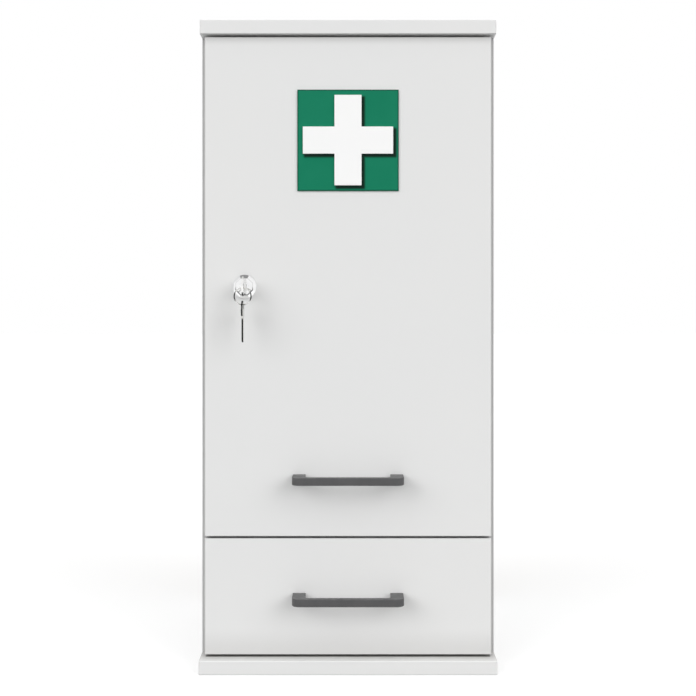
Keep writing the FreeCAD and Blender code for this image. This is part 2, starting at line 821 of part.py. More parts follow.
def strike():
    """The plate let into the left side panel, and the mortise behind it."""
    half = S.bolt_height / 2 + S.mortise_play
    span_y = (bolt_front - S.mortise_play, bolt_rear + S.mortise_play)
    hole = box((-inner_x, -inner_x - S.mortise_depth), span_y, (lock_z - half, lock_z + half))
    blank = box((-inner_x, -inner_x - S.strike_plate),
                (bolt_front - S.strike_margin, bolt_rear + S.strike_margin),
                (lock_z - S.strike_height / 2, lock_z + S.strike_height / 2))
    return cut(blank, [hole], "strike_plate"), fuse([blank, hole], "mortise")


# Keys and ring
def key(name, turn, x, y, z):
    """A flat key along its own X, from the end of the bow. Its blade has bits along one edge."""
    body = doc.addObject("PartDesign::Body", name)
    half = S.key_blade / 2
    profile = sketch(body, "XY_Plane", -S.key_thickness / 2)
    circle(profile, S.key_bow / 2, 0, S.key_bow)
    circle(profile, S.key_hole_inset, 0, S.key_hole)
    pad(body, profile, S.key_thickness)
    blade = sketch(body, "XY_Plane", -S.key_thickness / 2)
    root_x = S.key_bow - half
    free = S.key_length - S.key_bow
    bits = ((0.42, 0.0), (0.52, 0.7), (0.60, 0.3), (0.68, 1.0), (0.78, 0.4), (0.86, 0.9), (0.93, 0.5))
    outline = [(root_x, half), (root_x, -half), (S.key_length - half, -half), (S.key_length, 0)]
    outline += [(S.key_bow + share * free, half - depth * S.key_bit) for share, depth in reversed(bits)]
    polygon(blade, outline)
    pad(body, blade, S.key_thickness)
    body.Placement.Rotation = turn
    place(body, x, y, z)
    return body


def keys():
    """The key in the lock, the ring through its bow and the spare key on the ring."""
    ring = doc.addObject("Part::Torus", "key_ring")
    bind(ring, "Radius1", S.ring_radius)
    bind(ring, "Radius2", S.ring_wire / 2)
    ring.Placement.Rotation = TURNS["Y"]
    place(ring, lock_x, ring_y, ring_z)
    into_lock = Rotation(Vector(1, 1, 1), 120)
    hanging = Rotation(Vector(0, 1, 0), 90)
    spare_top = ring_z - S.ring_radius - ring_rest + S.key_hole_inset
    return [
        key("inserted_key", into_lock, lock_x, key_tip_y, lock_z),
        ring,
        key("spare_key", hanging, lock_x, ring_y, spare_top),
    ]


# Drawer and its runners
def drawer():
    z = (drawer_front_low + drawer_front_top) / 2
    parts = [front_panel("drawer_front", drawer_front_low, drawer_front_top, screw_holes(z))]
    pull, screws = handle("drawer_handle", z, fronts_back + S.drawer_board)
    height = (drawer_low, drawer_low + S.drawer_height)
    inside = drawer_half - S.drawer_board
    floor = drawer_low + S.drawer_bottom_rise
    groove = S.drawer_board - S.groove_depth
    bottom = box((-inside - S.groove_depth, inside + S.groove_depth),
                 (fronts_back + groove, drawer_rear - groove),
                 (floor, floor + S.drawer_bottom_board), "drawer_bottom")
    parts += [pull, screws, bottom]
    for name, side in (("drawer_left_side", -1), ("drawer_right_side", 1)):
        board = box((side * inside, side * drawer_half), (fronts_back, drawer_rear), height)
        parts.append(cut(board, [bottom], name))
    inner = box((-inside, inside), (fronts_back, fronts_back + S.drawer_board), height)
    parts.append(cut(inner, [bottom, screws], "drawer_inner_front"))
    rear = box((-inside, inside), (drawer_rear - S.drawer_board, drawer_rear), height)
    parts.append(cut(rear, [bottom], "drawer_back"))
    return parts


def rail(name, corners, start, length, axle):
    """A bent steel rail of one section along Y, with its riveted axle."""
    body = doc.addObject("PartDesign::Body", f"{name}_strip")
    profile = sketch(body, "XZ_Plane", -start)
    polygon(profile, corners)
    pad(body, profile, length, back=True)
    return fuse([body, axle], name)


def runners():
    """Roller runners: a channel on each side panel, an angle on each drawer side, and four rollers."""
    parts = []
    front_rollers = []
    rear_rollers = []
    radius = S.roller_diameter / 2
    track = axle_z - radius - S.roller_play  # the rear rollers run on it
    flange = axle_z + radius + S.roller_play  # it runs on the front rollers
    roller_in = drawer_half + S.roller_side_play
    roller_out = inner_x - S.roller_side_play - S.rail_sheet / 2
    lip = inner_x - S.rail_lip
    lip_low = flange + S.roller_play
    sheet_in = inner_x - S.rail_sheet
    for name, side in (("left", -1), ("right", 1)):
        axle = rod("X", (front_axle_y, axle_z), S.axle_diameter, (side * roller_in, side * inner_x))
        channel = [(inner_x, track - S.rail_sheet), (inner_x, lip_low + S.rail_sheet),
                   (lip, lip_low + S.rail_sheet), (lip, lip_low), (sheet_in, lip_low), (sheet_in, track),
                   (roller_in, track), (roller_in, track - S.rail_sheet)]
        corners = [(side * x, z) for x, z in channel]
        start = side_front + S.rail_setback
        end = drawer_rear + S.rail_overrun
        parts.append(rail(f"{name}_cabinet_rail", corners, start, end - start, axle))

        axle = rod("X", (rear_axle_y, axle_z), S.axle_diameter, (side * drawer_half, side * roller_out))
        web = drawer_half + S.rail_sheet
        reach = lip - S.rail_split
        angle = [(drawer_half, track), (web, track), (web, flange), (reach, flange),
                 (reach, flange + S.rail_sheet), (drawer_half, flange + S.rail_sheet)]
        corners = [(side * x, z) for x, z in angle]
        start = fronts_back + S.drawer_board
        parts.append(rail(f"{name}_drawer_rail", corners, start, drawer_rear - start, axle))

        span = (side * roller_in, side * roller_out)
        front_rollers.append(roller(front_axle_y, span))
        rear_rollers.append(roller(rear_axle_y, span))
    parts.append(group(front_rollers, "front_rollers"))
    parts.append(group(rear_rollers, "rear_rollers"))
    return parts


def roller(y, span):
    """A roller with rounded rims that runs on its axle."""
    body = doc.addObject("PartDesign::Body", "roller")
    low, high = ordered(span)
    profile = sketch(body, "YZ_Plane", low)
    circle(profile, y, axle_z, S.roller_diameter)
    circle(profile, y, axle_z, S.axle_diameter + 2 * S.axle_play)
    pad(body, profile, high - low)
    between = (S.roller_diameter.value + S.axle_diameter.value) / 2

    def tread_edge(edge):
        at_end = at_plane("X", low)(edge) or at_plane("X", high)(edge)
        return at_end and edge.BoundBox.ZLength > between

    fillet(body, S.roller_round, tread_edge)
    return body


def write(parts):
    """Checks the document and writes each piece to its own file."""
    doc.recompute()
    for obj in doc.Objects:
        if {"Invalid", "Error"} & set(obj.State):
            raise RuntimeError(f"{obj.Label} failed: {obj.State}")
    for part in parts:
        if part.Shape.isNull() or not part.Shape.isValid():
            raise RuntimeError(f"{part.Label} has no sound shape")
    os.makedirs("parts", exist_ok=True)
    for part in parts:
        part.Shape.exportStep(f"parts/{part.Label}.step")
    print(f"{len(parts)} pieces written")


write(carcass() + hinges() + door() + [rosette()] + cylinder_lock() + [lock_case(), lock_bolt()]
      + keys() + drawer() + runners())
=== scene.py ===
# %% [markdown]
# A white medicine cabinet with a lockable door over a drawer.
# The shapes and the moving bodies come packed from the CAD side and stay fixed. This lesson adds what the
# solids don't have: finishes, the small screws and caps, soft studio light and the camera.
# Lengths are in metres, apart from the screws and caps, which are written in millimetres.

# %% Load the packed cabinet
import math

import bmesh
import bpy
import numpy as np
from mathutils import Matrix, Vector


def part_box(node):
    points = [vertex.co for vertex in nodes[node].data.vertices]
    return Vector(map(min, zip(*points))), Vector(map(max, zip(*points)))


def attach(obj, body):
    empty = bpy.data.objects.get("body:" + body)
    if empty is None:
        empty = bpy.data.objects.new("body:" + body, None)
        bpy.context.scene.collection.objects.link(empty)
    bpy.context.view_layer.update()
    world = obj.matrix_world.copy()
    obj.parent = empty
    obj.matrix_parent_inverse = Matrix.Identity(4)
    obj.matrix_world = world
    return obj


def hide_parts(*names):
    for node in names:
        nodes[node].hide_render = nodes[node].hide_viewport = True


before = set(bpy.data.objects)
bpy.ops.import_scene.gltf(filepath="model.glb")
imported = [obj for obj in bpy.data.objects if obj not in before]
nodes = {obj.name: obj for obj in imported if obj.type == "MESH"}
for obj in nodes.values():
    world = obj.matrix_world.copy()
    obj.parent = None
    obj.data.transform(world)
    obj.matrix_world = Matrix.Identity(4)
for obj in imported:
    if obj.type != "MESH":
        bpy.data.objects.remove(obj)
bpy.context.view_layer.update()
scene = bpy.context.scene

# %% [markdown]
# The camera stands in front of the cabinet, a little over half its height, and looks straight ahead.
# A photographer keeps upright edges upright by levelling the camera and sliding the lens instead of tilting
# it. The same is done here with a small lens shift, and the camera's height shows the tops of the two pulls.
# The focal length is written in pixels of the square picture, as it is measured, and becomes millimetres.

# %% Camera
PIXELS, FOCAL_PIXELS = 696, 1091.9
SENSOR_MM = 36.0
STAND_OFF, EYE_HEIGHT = 1.5, 0.4888
LENS_SHIFT = -0.055

carcass_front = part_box("left_side_panel")[0][1]
camera_data = bpy.data.cameras.new("camera")
camera_data.sensor_width = SENSOR_MM
camera_data.lens = FOCAL_PIXELS / PIXELS * SENSOR_MM
camera_data.shift_y = LENS_SHIFT
camera = bpy.data.objects.new("camera", camera_data)
camera.location = (0.0, carcass_front - STAND_OFF, EYE_HEIGHT)
camera.rotation_euler = (math.pi / 2, 0.0, 0.0)
scene.collection.objects.link(camera)
scene.camera = camera
print("lens", round(camera_data.lens, 2), "mm, camera", STAND_OFF, "m in front of the carcass")

# %% [markdown]
# A finish is a network of nodes, and so is the sky. One could be joined by hand in the editor, or written out
# socket by socket, but both hide what it means. This helper adds nodes, joins them, and has short calls for
# sums and soft steps, so that a finish later on reads almost like a sentence.

# %% Helper for networks


class Network:
    """A node tree, with calls that add nodes and join them."""

    def __init__(self, tree):
        self.tree = tree

    def add(self, kind, **settings):
        """A new node of this kind, with its settings."""
        node = self.tree.nodes.new(kind)
        for key, value in settings.items():
            setattr(node, key, value)
        return node

    def feed(self, socket, value):
        """Joins another node's output to this socket, or sets the socket to a plain value."""
        if isinstance(value, bpy.types.NodeSocket):
            self.tree.links.new(value, socket)
        else:
            socket.default_value = value

    def calc(self, operation, *values):
        """The operation on sockets or plain numbers."""
        node = self.add("ShaderNodeMath", operation=operation)
        for socket, value in zip(node.inputs, values):
            self.feed(socket, value)
        return node.outputs[0]

    def step(self, value, low, high, to_low=0.0, to_high=1.0):
        """Soft step: to_low below low, to_high above high, a smooth slope between."""
        node = self.add("ShaderNodeMapRange", interpolation_type="SMOOTHSTEP")
        for socket, number in zip(node.inputs, (value, low, high, to_low, to_high)):
            self.feed(socket, number)
        return node.outputs[0]

    def between(self, value, low, high, soft):
        """1 from low to high and 0 outside, with flanks as wide as soft."""
        rise = self.step(value, low, low + soft)
        return self.calc("MULTIPLY", rise, self.step(value, high - soft, high, 1.0, 0.0))

    def line(self, value, middle, half):
        """1 where value is within half of middle, falling softly to 0 at twice that."""
        away = self.calc("ABSOLUTE", self.calc("SUBTRACT", value, middle))
        return self.step(away, half, 2 * half, 1.0, 0.0)


print("network calls:", *(name for name in vars(Network) if name[0] != "_"))

# %% [markdown]
# One finish is one material: a shader with constant values, and patterns that vary its colour, roughness and
# bump. A picture of a surface would need a map for each board. These patterns read Object coordinates. All
# pieces sit at the origin, so these are the cabinet's own metres, and a grain has its real size everywhere.

# %% Helper for finishes


class Finish(Network):
    """One material: a Principled shader, its constant sockets, and calls for patterns."""

    def __init__(self, name, colour, rough, metal=0.0, **sockets):
        self.material = bpy.data.materials.new(name)
        self.material.use_nodes = True
        super().__init__(self.material.node_tree)
        self.shader = self.tree.nodes["Principled BSDF"]
        constants = {"Base Color": (*colour, 1.0), "Roughness": rough, "Metallic": metal}
        constants.update({key.replace("_", " "): value for key, value in sockets.items()})
        for socket, value in constants.items():
            self.shader.inputs[socket].default_value = value
        self.place = self.add("ShaderNodeTexCoord").outputs["Object"]
        self.x, self.y, self.z = self.split(self.place)

    def split(self, vector):
        """The three parts of a vector, as sockets."""
        node = self.add("ShaderNodeSeparateXYZ")
        self.feed(node.inputs[0], vector)
        return node.outputs

    def noise(self, scale, detail=3.0, at=None):
        """Soft noise, about scale lumps to the metre."""
        node = self.add("ShaderNodeTexNoise")
        self.feed(node.inputs["Vector"], self.place if at is None else at)
        node.inputs["Scale"].default_value = scale
        node.inputs["Detail"].default_value = detail
        return node.outputs[0]

    def cells(self, scale):
        """Distance to the nearest of scattered points, about scale of them to the metre."""
        node = self.add("ShaderNodeTexVoronoi")
        self.feed(node.inputs["Vector"], self.place)
        node.inputs["Scale"].default_value = scale
        return node.outputs["Distance"]

    def blend(self, factor, first, second):
        """The first colour where factor is 0, the second where it is 1."""
        node = self.add("ShaderNodeMix", data_type="RGBA")
        self.feed(node.inputs[0], factor)
        for socket, value in ((node.inputs[6], first), (node.inputs[7], second)):
            self.feed(socket, (*value, 1.0) if isinstance(value, tuple) else value)
        return node.outputs[2]

    def mottle(self, pattern, first, second, low=0.3, high=0.7):
        """The first colour where the pattern is below low, the second where it is above high."""
        return self.blend(self.step(pattern, low, high), first, second)

    def colour(self, value):
        """Joins a pattern to the shader's colour."""
        self.feed(self.shader.inputs["Base Color"], value)

    def rough(self, value):
        """Joins a pattern to the shader's roughness."""
        self.feed(self.shader.inputs["Roughness"], value)

    def bump(self, height, strength, depth):
        """Tilts the shading as a relief of this height would, full height being depth metres."""
        node = self.add("ShaderNodeBump")
        node.inputs["Strength"].default_value = strength
        node.inputs["Distance"].default_value = depth
        self.feed(node.inputs["Height"], height)
        self.feed(self.shader.inputs["Normal"], node.outputs[0])


print("finish calls:", *(name for name in vars(Finish) if name[0] != "_"))

# %% [markdown]
# The boards are chipboard under white melamine: an almost even white, a very fine pearl grain that only
# shows where light grazes it, and a strip of edging on each narrow face. The joint of that edging is a hair
# line one millimetre in from the rim of the wide faces. It could be modelled, but a line drawn by the
# distance to the rim costs nothing.

# %% Melamine boards
BOARD_WHITE = (0.80, 0.802, 0.798)
EDGING, JOINT_HALF = 0.0011, 0.00009
JOINT_FULL, JOINT_END = 0.0001, 0.0004


def inset(f, axis, low, high):
    """Distance inwards from the nearer of two opposite faces."""
    return f.calc("MINIMUM", f.calc("SUBTRACT", axis, low), f.calc("SUBTRACT", high, axis))


def rim_distance(f, low, high, flat):
    """Distance to the nearest rim of a board's wide faces: the lesser inset of its two long directions."""
    insets = [inset(f, axis, low[i], high[i]) for i, axis in enumerate((f.x, f.y, f.z)) if i != flat]
    return f.calc("MINIMUM", *insets)


def melamine(node, flat, *marks):
    """White board whose thin direction is the axis flat, with edging joints, pearl grain and own marks."""
    low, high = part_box(node)
    f = Finish("melamine." + node, BOARD_WHITE, 0.42, Specular_IOR_Level=0.42)
    tone = f.mottle(f.noise(3.2), (0.796, 0.799, 0.796), (0.806, 0.806, 0.800))
    pores = f.step(f.noise(2300.0, 1.0), 0.66, 0.74)
    tone = f.blend(f.calc("MULTIPLY", pores, 0.10), tone, (0.60, 0.60, 0.59))
    sunk = inset(f, (f.x, f.y, f.z)[flat], low[flat], high[flat])
    joint = f.line(rim_distance(f, low, high, flat), EDGING, JOINT_HALF)
    joint = f.calc("MULTIPLY", joint, f.step(sunk, JOINT_FULL, JOINT_END, 0.34, 0.0))
    tone = f.blend(joint, tone, (0.42, 0.41, 0.39))
    for mark in marks:
        tone = mark(f, tone, low, high)
    f.colour(tone)
    dull = f.step(f.noise(46.0, 4.0), 0.3, 0.75, 0.36, 0.48)
    f.rough(f.calc("ADD", dull, f.calc("MULTIPLY", pores, 0.08)))
    f.bump(f.noise(1600.0, 2.0), 0.10, 0.00012)
    return f


print("board white", BOARD_WHITE, "edging", EDGING)

# %% [markdown]
# Some boards have marks of their own. A mark is a small function that takes the colour so far and gives it
# back changed. The first two belong to edges: nobody sees the rear edges of the carcass, so they are left
# raw and show bare chips, and the front edges of the sides are painted light grey as painted shade.
# Cutting a board into faces with a material each would also do. A thin skin below a face needs no cut.

# %% Marks on edges
SKIN = 0.0002


def on_lower(f, axis, face):
    """1 within SKIN of the face that ends a board at its lower end of the axis, 0 at twice that depth."""
    return f.step(axis, face + SKIN, face + 2 * SKIN, 1.0, 0.0)


def on_upper(f, axis, face):
    """1 within SKIN of the face that ends a board at its upper end of the axis, 0 at twice that depth."""
    return f.step(axis, face - 2 * SKIN, face - SKIN)


def raw_rear(f, tone, low, high):
    """Bare chips on the rear edge: brown noise with paler flakes from a cell pattern."""
    chips = f.mottle(f.noise(210.0, 4.0), (0.30, 0.19, 0.10), (0.62, 0.46, 0.28), 0.35, 0.68)
    flakes = f.mottle(f.cells(330.0), chips, (0.70, 0.55, 0.36), 0.30, 0.62)
    return f.blend(on_upper(f, f.y, high[1]), tone, flakes)


def shaded_front_edge(f, tone, low, high):
    """Painted shade on the front edge: a light grey strip, a little uneven."""
    strip = f.blend(f.noise(30.0), (0.50, 0.50, 0.50), (0.56, 0.56, 0.555))
    return f.blend(on_lower(f, f.y, low[1]), tone, strip)


print("edge marks are", SKIN, "m deep")

# %% [markdown]
# Strips under both fronts and on the bottom panel are painted almost black with a fine fuzz. This is painted
# shade, which is why the narrow gaps there look almost black. A piece of felt would fill the gaps that the
# fronts need to move in, so the painted shade is a mark as well.

# %% Painted shade in the gaps
front_low, front_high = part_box("drawer_front")
FRONT_FACE, FRONT_BACK, FRONT_HALF = front_low[1], front_high[1], front_high[0]
GAP_SHADE_SOFT, GAP_SHADE_REAR, GAP_SHADE_SIDE = 0.0003, 0.0005, 0.001


def gap_shade(f, tone, on_face):
    """Painted shade, near black with a fine fuzz, where on_face is 1, almost as deep and as wide as the
    fronts.
    """
    shade_fuzz = f.blend(f.noise(1400.0), (0.010, 0.010, 0.011), (0.040, 0.040, 0.042))
    depth = f.between(f.y, FRONT_FACE + GAP_SHADE_SOFT, FRONT_BACK - GAP_SHADE_REAR, GAP_SHADE_SOFT)
    across = f.between(f.x, -FRONT_HALF + GAP_SHADE_SIDE, FRONT_HALF - GAP_SHADE_SIDE, GAP_SHADE_SOFT)
    return f.blend(f.calc("MULTIPLY", f.calc("MULTIPLY", depth, across), on_face), tone, shade_fuzz)


def gap_shade_below(f, tone, low, high):
    """Painted shade on the lower face."""
    return gap_shade(f, tone, on_lower(f, f.z, low[2]))


def gap_shade_above(f, tone, low, high):
    """Painted shade on the upper face."""
    return gap_shade(f, tone, on_upper(f, f.z, high[2]))


print("felt from", round(FRONT_FACE, 4), "to", round(FRONT_BACK, 4))

# %% [markdown]
# The ledge in front of the drawer, the foot of the drawer front and the head of the door are painted darker:
# painted shade, and under the top's overhang a painted shadow. Painting such places by hand would look more
# lively, but they have to stay put when sizes change, so each is a slope that starts from the board's own
# edge.

# %% Painted shade at the ledge, the foot and the head
FOOT_SHARE, HEAD_SHADE = 0.25, 0.012
LEDGE_SHADE_GREY, SHADE_GREY = (0.50, 0.49, 0.47), (0.56, 0.555, 0.545)


def shaded_ledge(f, tone, low, high):
    """Painted shade on the upper face in front of the drawer, deeper towards the back and broken up by noise.
    """
    depth = f.step(f.y, low[1], FRONT_FACE, 0.25, 0.60)
    ledge_shade = f.calc("MULTIPLY", depth, f.step(f.noise(60.0, 5.0), 0.2, 0.8, 0.75, 1.0))
    return f.blend(f.calc("MULTIPLY", on_upper(f, f.z, high[2]), ledge_shade), tone, LEDGE_SHADE_GREY)


def shaded_foot(f, tone, low, high):
    """Painted shade at the foot, above the ledge: strongest at the lower edge, gone FOOT_SHARE of the way up.
    """
    reach = low[2] + FOOT_SHARE * (high[2] - low[2])
    return f.blend(f.step(f.z, low[2], reach, 0.55, 0.0), tone, SHADE_GREY)


def shaded_head(f, tone, low, high):
    """Painted shadow of the top's overhang on the head: strongest at the upper edge, gone below HEAD_SHADE.
    """
    return f.blend(f.step(f.z, high[2] - HEAD_SHADE, high[2], 0.0, 0.45), tone, SHADE_GREY)


print("dull foot", FOOT_SHARE, "of the drawer front, dull head", HEAD_SHADE, "m of the door")

# %% [markdown]
# Each board now names its thin direction, because the edging runs round the other two, and then its marks.
# One finish for all boards would be shorter, but the joint and the marks are placed by each board's own box.

# %% Dress the boards
ACROSS, DEEP, UP = range(3)
finishes = {}


def dress(finish, *names):
    """Gives CAD nodes their finish."""
    for name in names:
        nodes[name].data.materials.clear()
        nodes[name].data.materials.append(finish.material)
    finishes.update({name: finish.material.name for name in names})


boards = {
    "top_panel": (UP, raw_rear), "bottom_panel": (UP, raw_rear, gap_shade_above, shaded_ledge),
    "left_side_panel": (ACROSS, raw_rear, shaded_front_edge), "right_side_panel": (ACROSS, raw_rear, shaded_front_edge),
    "divider_shelf": (UP, raw_rear), "lower_shelf": (UP, raw_rear), "middle_shelf": (UP, raw_rear),
    "upper_shelf": (UP, raw_rear), "door_panel": (DEEP, gap_shade_below, shaded_head),
    "drawer_front": (DEEP, gap_shade_below, shaded_foot),
}
for node, options in boards.items():
    dress(melamine(node, *options), node)
print("boards dressed", len(finishes))

# %% [markdown]
# The back is a fibre board, lacquered white on the inside and bare brown outside, where the press screen
# leaves a fine mesh of dents: two crossed waves. Modelled dents would be millions of faces for something
# that only shows in a grazing light, so they are bump.

# %% Fibre board
BARE, SCREEN_PITCH = 0.001, 0.0021


def stretched(f, factors):
    """The place times factors, so that a pattern is drawn out along the axis with the smallest."""
    node = f.add("ShaderNodeMapping")
    f.feed(node.inputs["Vector"], f.place)
    node.inputs["Scale"].default_value = factors
    return node.outputs[0]


def wave(f, value, pitch):
    """The sine of value, with one wave to each pitch."""
    return f.calc("SINE", f.calc("MULTIPLY", value, 2 * math.pi / pitch))


low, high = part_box("back_panel")
back = Finish("fibre_board", (0.78, 0.78, 0.77), 0.5, Specular_IOR_Level=0.3)
outer = back.step(back.y, high[1] - BARE - SKIN, high[1] - BARE + SKIN)
fibre = back.noise(420.0, 6.0, stretched(back, (1.0, 1.0, 1.7)))
brown = back.mottle(fibre, (0.215, 0.128, 0.068), (0.315, 0.205, 0.118), 0.3, 0.72)
broad = back.step(back.noise(9.0), 0.3, 0.7, 0.0, 0.30)
brown = back.blend(broad, brown, (0.225, 0.138, 0.078))
flecks = back.step(back.noise(760.0, 2.0), 0.62, 0.74, 0.0, 0.5)
brown = back.blend(flecks, brown, (0.13, 0.075, 0.04))
lacquer = back.mottle(back.noise(5.0), (0.775, 0.778, 0.770), (0.790, 0.790, 0.780))
back.colour(back.blend(outer, lacquer, brown))
back.rough(back.step(outer, 0.0, 1.0, 0.44, 0.82))
dents = back.calc("MULTIPLY", wave(back, back.x, SCREEN_PITCH), wave(back, back.z, SCREEN_PITCH))
dents = back.calc("MULTIPLY", dents, outer)
back.bump(back.calc("ADD", dents, back.calc("MULTIPLY", fibre, 1.5)), 0.22, 0.0003)
dress(back, "back_panel")
print("back dressed, bare", BARE, "m deep from behind")

# %% [markdown]
# The drawer box is wrapped in a thin white foil with a linen print, a little warmer than the fronts. Its
# bottom is fibre board with the same foil. Even waves would look like a grid. Two noises, each drawn out
# along one direction, cross like real threads.

# %% Drawer foil


def shaded(colour, share):
    """A colour with each channel times share."""
    return tuple(share * channel for channel in colour)


def foil(name, warm):
    """Linen foil: two crossed rows of fine stretched streaks over a warm white."""
    f = Finish(name, warm, 0.5, Specular_IOR_Level=0.35)
    along = f.noise(700.0, 2.0, stretched(f, (1.0, 0.05, 1.0)))
    up = f.noise(700.0, 2.0, stretched(f, (1.0, 1.0, 0.05)))
    linen = f.calc("MULTIPLY", along, up)
    f.colour(f.mottle(linen, shaded(warm, 0.955), shaded(warm, 1.02), 0.16, 0.36))
    f.rough(f.step(linen, 0.12, 0.4, 0.56, 0.44))
    f.bump(linen, 0.16, 0.0002)
    return f


dress(foil("linen_foil", (0.80, 0.792, 0.772)), "drawer_left_side", "drawer_right_side", "drawer_inner_front",
      "drawer_back")
dress(foil("bottom_foil", (0.77, 0.765, 0.75)), "drawer_bottom")
print("finishes so far", len(finishes))

# %% [markdown]
# The two pulls are cast metal with a dark grey powder coat: a soft sheen, a fine orange-peel skin, and a
# slightly paler bloom on the arrises where hands rub. Such wear is often taken from the curvature of a mesh,
# but these bars are plain. The same rim distance that draws the joints of the boards finds their arrises.

# %% Pulls
RUB_FULL, RUB_END = 0.0002, 0.0013


def powder_coat(node):
    """Dark grey coat with orange peel; the rubbed arris is found from the distance to the bar's rim."""
    low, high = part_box(node)
    f = Finish("powder_coat." + node, (0.085, 0.085, 0.087), 0.5, Specular_IOR_Level=0.3)
    cloud = f.step(f.noise(60.0, 4.0), 0.35, 0.7)
    grey = f.blend(cloud, (0.081, 0.081, 0.083), (0.090, 0.090, 0.092))
    speck = f.step(f.noise(3400.0, 1.0), 0.63, 0.72, 0.0, 0.30)
    grey = f.blend(speck, grey, (0.17, 0.17, 0.172))
    rim = f.step(rim_distance(f, low, high, DEEP), RUB_FULL, RUB_END, 0.28, 0.0)
    rubbed = f.calc("MULTIPLY", rim, f.step(f.noise(170.0), 0.35, 0.65))
    f.colour(f.blend(rubbed, grey, (0.19, 0.19, 0.19)))
    f.rough(f.step(f.calc("ADD", cloud, rubbed), 0.0, 1.3, 0.50, 0.40))
    f.bump(f.noise(1500.0, 2.0), 0.16, 0.00016)
    return f


for node in ("door_handle", "drawer_handle"):
    dress(powder_coat(node), node)
print("pulls dressed, arris rubbed over", RUB_END, "m")

# %% [markdown]
# The first-aid sign is a green plastic plate with a raised white cross. A dark soft shadow is painted to the
# right of and below the cross, so that the cross seems to float. One lamp high on the left would throw such a
# shadow, but on everything else too. So the painted shadow is drawn, by the distance to a cross that is moved
# a little to the right and down.

# %% Sign plate
plate_low, plate_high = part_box("sign_plate")
cross_low, cross_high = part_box("sign_cross")
CROSS_ARM = 0.0365
SHADOW_RIGHT, SHADOW_UP = 0.0030, -0.0032
SHADOW_FULL, SHADOW_END = -0.0004, 0.0038
RIM_FULL, RIM_END = 0.0006, 0.0022


def length(f, first, second):
    """The root of the sum of two squares."""
    squares = [f.calc("MULTIPLY", side, side) for side in (first, second)]
    return f.calc("SQRT", f.calc("ADD", *squares))


def cross_distance(f, right, up):
    """Distance outside a plus shape: the lesser of the distances to its upright and its level bar."""
    middle_x, _, middle_z = [(a + b) / 2 for a, b in zip(cross_low, cross_high)]
    reach = (cross_high[0] - cross_low[0]) / 2
    across = f.calc("ABSOLUTE", f.calc("SUBTRACT", f.x, middle_x + right))
    height = f.calc("ABSOLUTE", f.calc("SUBTRACT", f.z, middle_z + up))
    bars = []
    for long, short in ((across, height), (height, across)):
        past_end = f.calc("MAXIMUM", f.calc("SUBTRACT", long, reach), 0.0)
        past_side = f.calc("MAXIMUM", f.calc("SUBTRACT", short, CROSS_ARM / 2), 0.0)
        bars.append(length(f, past_end, past_side))
    return f.calc("MINIMUM", *bars)


green = Finish("sign_green", (0.006, 0.205, 0.110), 0.5, Specular_IOR_Level=0.12)
leaf = green.mottle(green.noise(24.0, 4.0), (0.0045, 0.196, 0.103), (0.0070, 0.208, 0.111))
# Painted shadow of the raised cross, to the right and below; the plate's rim is darkened too.
shade = green.step(cross_distance(green, SHADOW_RIGHT, SHADOW_UP), SHADOW_FULL, SHADOW_END, 1.0, 0.0)
edge = green.step(rim_distance(green, plate_low, plate_high, DEEP), RIM_FULL, RIM_END, 0.62, 0.0)
green.colour(green.blend(green.calc("MAXIMUM", shade, edge), leaf, (0.0010, 0.012, 0.007)))
green.rough(green.step(green.noise(300.0), 0.3, 0.7, 0.45, 0.55))
green.bump(green.noise(1200.0, 2.0), 0.08, 0.0001)
dress(green, "sign_plate")
print("plate", round(plate_high[0] - plate_low[0], 4), "wide, cross", round(cross_high[0] - cross_low[0], 4))

# %% [markdown]
# The cross itself is a glossy white moulding with a faint haze. It could share the finish of the boards, but
# next to them it is whiter and shinier.

# %% Sign cross
cross = Finish("sign_white", (0.965, 0.967, 0.965), 0.3, Specular_IOR_Level=0.45)
cross.colour(cross.mottle(cross.noise(18.0), (0.962, 0.965, 0.963), (0.970, 0.970, 0.967)))
cross.rough(cross.step(cross.noise(240.0), 0.3, 0.7, 0.28, 0.34))
cross.bump(cross.noise(900.0, 2.0), 0.03, 0.0001)
dress(cross, "sign_cross")
print("sign dressed, arm", CROSS_ARM)

# %% [markdown]
# Chrome covers the lock. It is polished, so what it shows comes from its surroundings. The upper flat of the
# bevel is painted grey, a painted reflection, and a fine groove round the eight-sided face is painted dark, a
# painted shade that is darkest below. The groove could be cut into the solid, but drawn by a distance it can
# also change in strength. An eight-sided distance is the greatest of three: across, up, and their sum over
# the root of two.

# %% Lock chrome
lock_low, lock_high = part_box("lock_rosette")
LOCK_X, LOCK_Z = (lock_low[0] + lock_high[0]) / 2, (lock_low[2] + lock_high[2]) / 2
LOCK_FACE = 0.022
GROOVE_OUT, GROOVE_HALF = 0.0003, 0.0004
GROOVE_SHADE_FULL, GROOVE_SHADE_END = -0.006, 0.001
TURNING_PITCH = 0.00045


def facing(f):
    """The surface direction in the piece's own axes, as three sockets."""
    turn = f.add("ShaderNodeVectorTransform", vector_type="NORMAL", convert_from="WORLD", convert_to="OBJECT")
    f.feed(turn.inputs[0], f.add("ShaderNodeNewGeometry").outputs["True Normal"])
    return f.split(turn.outputs[0])


